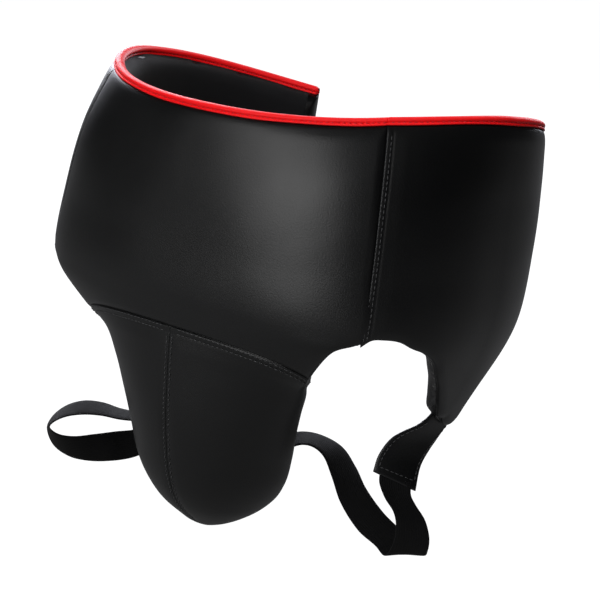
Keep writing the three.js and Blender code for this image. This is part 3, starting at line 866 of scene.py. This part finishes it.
def rim_path(pad):
    """Distances, top points, outward and downward directions along a pad's rim, evenly spaced."""
    fine = np.linspace(0, 1, 1200)
    top = pad.patch(fine, 0 * fine)
    lengths = polyline_length(top)
    at = np.linspace(0, lengths[-1], int(lengths[-1] / BINDING_STEP))
    u = np.interp(at, lengths, fine)
    top = pad.patch(u, 0 * u)
    down = unit(pad.patch(u, 0.05 + 0 * u) - top)
    return at, top, outward(pad.patch, u, 0 * u), down


def binding(name, pad, rear=None):
    """Strip folded over the rim. rear is 0 or -1 for the end that is tucked in at the back."""
    at, top, out, down = rim_path(pad)
    profile, in_groove, on_hem = binding_profile()
    pulled = np.cos(2 * np.pi * at / STITCH_PITCH)[:, None]
    wander = (np.sin(at / 17 + 1) * np.sin(at / 29))[:, None]
    off = np.abs(profile[:, 0]) - GROOVE_PULL * in_groove * (1 + pulled)
    off = off + on_hem * (0.12 * pulled + 0.2 * wander)
    off = off * np.sign(profile[:, 0])
    drop = profile[:, 1] + on_hem * 0.2 * np.sin(at / 13)[:, None]
    middle = EDGE_LIFT - PAD_THICKNESS / 2
    if rear is not None:
        from_end = np.abs(at - at[rear])
        tuck = np.sqrt(np.clip(from_end / TUCK_LENGTH, 0.02, 1))[:, None]
        off = off * lerp(0.35, 1, tuck)
        drop = lerp(2.4, drop, lerp(0.45, 1, tuck))
    loops = top[:, None] + out[:, None] * (middle + off)[..., None] + down[:, None] * drop[..., None]
    cloth = np.stack([profile[:, 1] + 0 * drop, at[:, None] + 0 * drop, 0 * drop], axis=-1)
    piece = loft(f"{name}_binding_strip", loops, RED_LEATHER, cloth)
    rows = []
    for face in (1, -1):
        row = top + out * (middle + face * THREAD_ROW_OFFSET) + down * GROOVE_DROP
        rows.append((row, out * face))
    thread = stitches(f"{name}_binding_stitches", rows, RED_THREAD, thread=BINDING_THREAD, proud=0.25)
    stand_for(piece, "red_binding", f"{name}_binding")
    stand_for(thread, "red_binding")
    return piece, thread


def build_bindings():
    for piece in binding("front", FRONT_PAD):
        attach(piece, "root")
    for piece in binding("left_wing", LEFT_WING_PAD, rear=-1):
        bend_at_side_seam(piece, 1)
    for piece in binding("right_wing", RIGHT_WING_PAD, rear=0):
        bend_at_side_seam(piece, -1)


# ---- seams in the leather ----
WING_LENGTH = 336         # round the belt, from the side seam to the rear end
CUP_HEIGHT = CUP_BOTTOM_ROW - CUP_SEAM_ROW
# Shares of a patch's width or height between which a seam's stitches run
SIDE_SEAM_SPAN = (0.07, 0.985)
CUP_SEAM_SPANS = [(0.02, 0.485), (0.515, 0.98)]
CENTRE_SEAM_SPAN = (0.035, 0.955)


def row_on_cover(pad, u, v):
    """A row of stitches over the leather. u and v are pairs of start and end."""
    t = np.linspace(0, 1, 260)
    return pad.cover_points(lerp(*u, t), lerp(*v, t))


def centre_row(direction):
    """Points a fixed distance to one side of the seam down the middle of the cup."""
    v = np.linspace(*CENTRE_SEAM_SPAN, 260)
    step = 0.01
    spread = np.linalg.norm(cup_patch(0.5 + step + 0 * v, v) - cup_patch(0.5 + 0 * v, v), axis=-1) / step
    return CUP_PAD.cover_points(0.5 + direction * CENTRE_ROW_INSET / spread, v)


def build_side_seam_stitches():
    for side, name, pad in ((1, "left", LEFT_WING_PAD), (-1, "right", RIGHT_WING_PAD)):
        rows = []
        for inset in (FOLD_ROW_INSET, SEAM_ROW_INSET):
            share = inset / WING_LENGTH if side > 0 else 1 - inset / WING_LENGTH
            rows.append(row_on_cover(pad, (share, share), SIDE_SEAM_SPAN))
        thread = stitches(f"{name}_side_seam_stitches", rows, GREY_THREAD)
        stand_for(thread, "black_leather")
        bend_at_side_seam(thread, side)


def build_cup_stitches():
    seam_rows = [
        row_on_cover(CUP_PAD, span, (inset / CUP_HEIGHT, inset / CUP_HEIGHT))
        for inset in (FOLD_ROW_INSET, SEAM_ROW_INSET)
        for span in CUP_SEAM_SPANS
    ]
    centre_rows = [centre_row(direction) for direction in (-1, 1)]
    for name, rows in (("cup_seam_stitches", seam_rows), ("cup_centre_stitches", centre_rows)):
        thread = stitches(name, rows, GREY_THREAD)
        stand_for(thread, "black_leather")
        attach(thread, "root")


# ---- straps and tabs ----
STRIP_STEP = 1.2          # between sections of a strap or tab
SIDE_ROW_INSET = 3        # from a tab's long edge to its row of stitches
END_ROW_INSET = 5.5
TAB_ROW_START = 9
ROW_SKEW = 0.01           # how far along a strip a row across it runs
STRIP_POINTS = 19         # round one face of a strip's section


def follow(route):
    """Distances, middle points, across vectors and directions along, evenly spaced along a route."""
    rows = np.array(route, float)
    lengths = polyline_length(rows[:, :3])
    table = np.column_stack([lengths, rows])
    fine = np.linspace(0, lengths[-1], 2000)
    values = np.column_stack([table_value(table, column, fine) for column in range(1, 7)])
    true_lengths = polyline_length(values[:, :3])
    at = np.linspace(0, true_lengths[-1], int(true_lengths[-1] / STRIP_STEP))
    values = resample(values, true_lengths, at)
    middle = values[:, :3]
    along = unit(np.gradient(middle, axis=0))
    return at, middle, values[:, 3:], along


def strip(name, route, width, thickness, material, cupping=0.0):
    """A flat strip with rounded edges. Returns it, its length and a function that gives rows on its faces.

    The length of a route's across vector scales the width, so a strip can taper or be folded obliquely.
    """
    at, middle, across, along = follow(route)
    face = unit(np.cross(along, across))
    one_face = np.cos(np.linspace(0, np.pi, STRIP_POINTS))
    side = np.concatenate([one_face, -one_face[1:-1]])
    sign = np.concatenate([np.ones(STRIP_POINTS), -np.ones(STRIP_POINTS - 2)])
    bulge = np.sqrt(np.clip(1 - np.abs(side) ** 9, 0, 1)) * sign
    off = bulge[None] * thickness / 2 + cupping * (side[None] ** 2)
    spread = width / 2 * side[None] + 0 * at[:, None]
    loops = middle[:, None] + across[:, None] * spread[..., None] + face[:, None] * off[..., None]
    cloth = np.stack([spread, at[:, None] + 0 * spread, 0 * spread], axis=-1)
    piece = loft(name, loops, material, cloth)

    def on_face(start, end, start_place, end_place, facing):
        """A row on one face between two distances along and two places across, in millimetres."""
        t = np.linspace(0, 1, 120)
        distance, place = lerp(start, end, t), lerp(start_place, end_place, t)
        centre, sideways = resample(middle, at, distance), resample(across, at, distance)
        out = facing * unit(resample(face, at, distance))
        cupped = facing * cupping * (2 * place / width) ** 2
        return centre + sideways * place[:, None] + out * (thickness / 2 + cupped)[:, None], out

    return piece, at[-1], on_face


def tab_rows(on_face, length):
    """Rows down both sides of a tab and across its end, on both faces."""
    rows = []
    half = TAB_WIDTH / 2 - SIDE_ROW_INSET
    end = length - END_ROW_INSET
    for facing in (1, -1):
        rows.append(on_face(TAB_ROW_START, end, half, half, facing))
        rows.append(on_face(TAB_ROW_START, end, -half, -half, facing))
        rows.append(on_face(end, end + ROW_SKEW, -half, half, facing))
    return rows


def build_tabs():
    for name, route in (("left", LEFT_TAB_ROUTE), ("right", RIGHT_TAB_ROUTE)):
        piece, length, on_face = strip(
            f"{name}_tab_leather", route, TAB_WIDTH, TAB_THICKNESS, BLACK_LEATHER, cupping=-0.6)
        stand_for(piece, "black_leather", f"{name}_tail_tab")
        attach(piece, f"{name}_wing")
        thread = stitches(f"{name}_tab_stitches", tab_rows(on_face, length), GREY_THREAD)
        stand_for(thread, "black_leather")
        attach(thread, f"{name}_wing")


def build_leg_straps():
    for name, route in (("left", LEFT_STRAP_ROUTE), ("right", RIGHT_STRAP_ROUTE)):
        piece, length, _ = strip(
            f"{name}_leg_elastic", route, LEG_STRAP_WIDTH, LEG_STRAP_THICKNESS, ELASTIC, cupping=0.5)
        stand_for(piece, "elastic", f"{name}_leg_strap")
        start, end = (Vector(route[i][:3]) * MM for i in (-1, 1))
        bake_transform(piece)
        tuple(start)
        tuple(end)


def build_anchor():
    piece, length, on_face = strip(
        "crotch_anchor_leather", ANCHOR_ROUTE, ANCHOR_WIDTH, ANCHOR_THICKNESS, BLACK_LEATHER)
    stand_for(piece, "black_leather", "crotch_anchor")
    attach(piece, "root")
    start, half = length - 4, 10
    rows = [on_face(start, start + ROW_SKEW, -half, half, facing) for facing in (1, -1)]
    thread = stitches("crotch_anchor_stitches", rows, GREY_THREAD)
    stand_for(thread, "black_leather")
    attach(thread, "root")


def build_waist_closure():
    piece, length, on_face = strip(
        "waist_elastic", WAIST_STRAP_ROUTE, WAIST_STRAP_WIDTH, WAIST_STRAP_THICKNESS, ELASTIC, cupping=0.3)
    stand_for(piece, "elastic", "waist_strap")
    start, end = (Vector(WAIST_STRAP_ROUTE[i][:3]) * MM for i in (1, 4))
    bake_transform(piece)
    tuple(start)
    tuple(end)
    hook, hook_length, _ = strip(
        "waist_hook_tape", HOOK_PATCH_ROUTE, HOOK_PATCH_WIDTH, HOOK_PATCH_THICKNESS, HOOK_TAPE)
    stand_for(hook, "hook_and_loop", "hook_patch")
    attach(hook, "waist_strap")
    half = HOOK_PATCH_WIDTH / 2 - 2
    rows = [on_face(length - hook_length, length - 7, place, place, 1) for place in (-half, half)]
    thread = stitches("waist_strap_stitches", rows, GREY_THREAD, proud=0.15)
    stand_for(thread, "elastic")
    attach(thread, "waist_strap")


def build_loop_patch():
    u, v = np.meshgrid(crowded(0, 1, 50), crowded(0, 1, 36))
    points = loop_tape_patch(u, v)
    normals = outward(loop_tape_patch, u, v)
    width, height = LOOP_PATCH_SIZE
    from_edge = np.minimum(np.minimum(u, 1 - u) * width, np.minimum(v, 1 - v) * height)
    raised = 0.9 + 2.2 * np.sqrt(smooth_step(from_edge, -0.2, 2.5))
    front, back = points + normals * raised[..., None], points - normals * 0.2
    piece = closed_grid("waist_loop_tape", front, back, LOOP_TAPE, LOOP_PATCH_SIZE)
    stand_for(piece, "hook_and_loop", "loop_patch")
    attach(piece, "right_wing")


# ---- studio ----
FLOOR_SIZE = 30
FLOOR_DROP = 0.001
COOL_WHITE = (0.88, 0.9, 1)


def camera_only(tree, elsewhere, in_camera):
    """A value for what the camera sees directly, and another for every other ray."""
    seen = tree.nodes.new("ShaderNodeLightPath").outputs["Is Camera Ray"]
    value = tree.nodes.new("ShaderNodeMapRange")
    value.inputs["To Min"].default_value = elsewhere
    value.inputs["To Max"].default_value = in_camera
    tree.links.new(seen, value.inputs["Value"])
    return value.outputs["Result"]


def floor_material():
    made = bpy.data.materials.new("pale_floor")
    made.use_nodes = True
    tree = made.node_tree
    inputs = tree.nodes["Principled BSDF"].inputs
    tree.links.new(camera_only(tree, 0.14, 1), inputs["Emission Strength"])
    inputs["Base Color"].default_value = (0.08, 0.08, 0.08, 1)
    inputs["Roughness"].default_value = 0.9
    inputs["Specular IOR Level"].default_value = 0.1
    inputs["Emission Color"].default_value = (1, 1, 1, 1)
    return made


def build_floor():
    bpy.ops.mesh.primitive_plane_add(size=FLOOR_SIZE, location=(0, 0, cad_bounds[0].z - FLOOR_DROP))
    floor = bpy.context.object
    floor.name = "floor"
    floor.data.materials.append(floor_material())
    floor.visible_diffuse = False


def softbox(name, azimuth, elevation, distance, size, power, colour=(1, 1, 1)):
    """A rectangular light that faces the object, placed by direction as the camera is."""
    a, e = math.radians(azimuth), math.radians(elevation)
    toward = Vector((math.sin(a) * math.cos(e), -math.cos(a) * math.cos(e), math.sin(e)))
    data = bpy.data.lights.new(name, "AREA")
    data.shape = "RECTANGLE"
    data.size, data.size_y = size
    data.energy = power
    data.color = colour
    lamp = bpy.data.objects.new(name, data)
    lamp.location = CAMERA_TARGET + toward * distance
    lamp.rotation_mode = "QUATERNION"
    lamp.rotation_quaternion = toward.to_track_quat("Z", "Y")
    bpy.context.scene.collection.objects.link(lamp)
    return lamp


def build_lights():
    softbox("key", -6, 22, 2.0, (1.2, 1.5), 18)
    softbox("overhead", 20, 86, 2.2, (3.0, 3.0), 34).visible_glossy = False
    softbox("fill", 30, 32, 2.5, (2.5, 2.5), 30).visible_glossy = False
    softbox("left_rim", -122, 24, 2.2, (0.9, 1.5), 38, COOL_WHITE)
    softbox("right_rim", -165, 24, 2.4, (0.9, 1.5), 26, COOL_WHITE)


def build_world():
    world = bpy.data.worlds.new("studio")
    world.use_nodes = True
    tree = world.node_tree
    background = tree.nodes["Background"]
    background.inputs["Color"].default_value = (1, 1, 1, 1)
    tree.links.new(camera_only(tree, 0.025, 1), background.inputs["Strength"])
    bpy.context.scene.world = world
    bpy.context.scene.view_settings.view_transform = "Standard"


build_front()
build_cup()
for wing_side in (1, -1):
    build_wing(wing_side)
build_bindings()
build_side_seam_stitches()
build_cup_stitches()
build_tabs()
build_leg_straps()
build_anchor()
build_waist_closure()
build_loop_patch()
build_floor()
build_lights()
build_world()
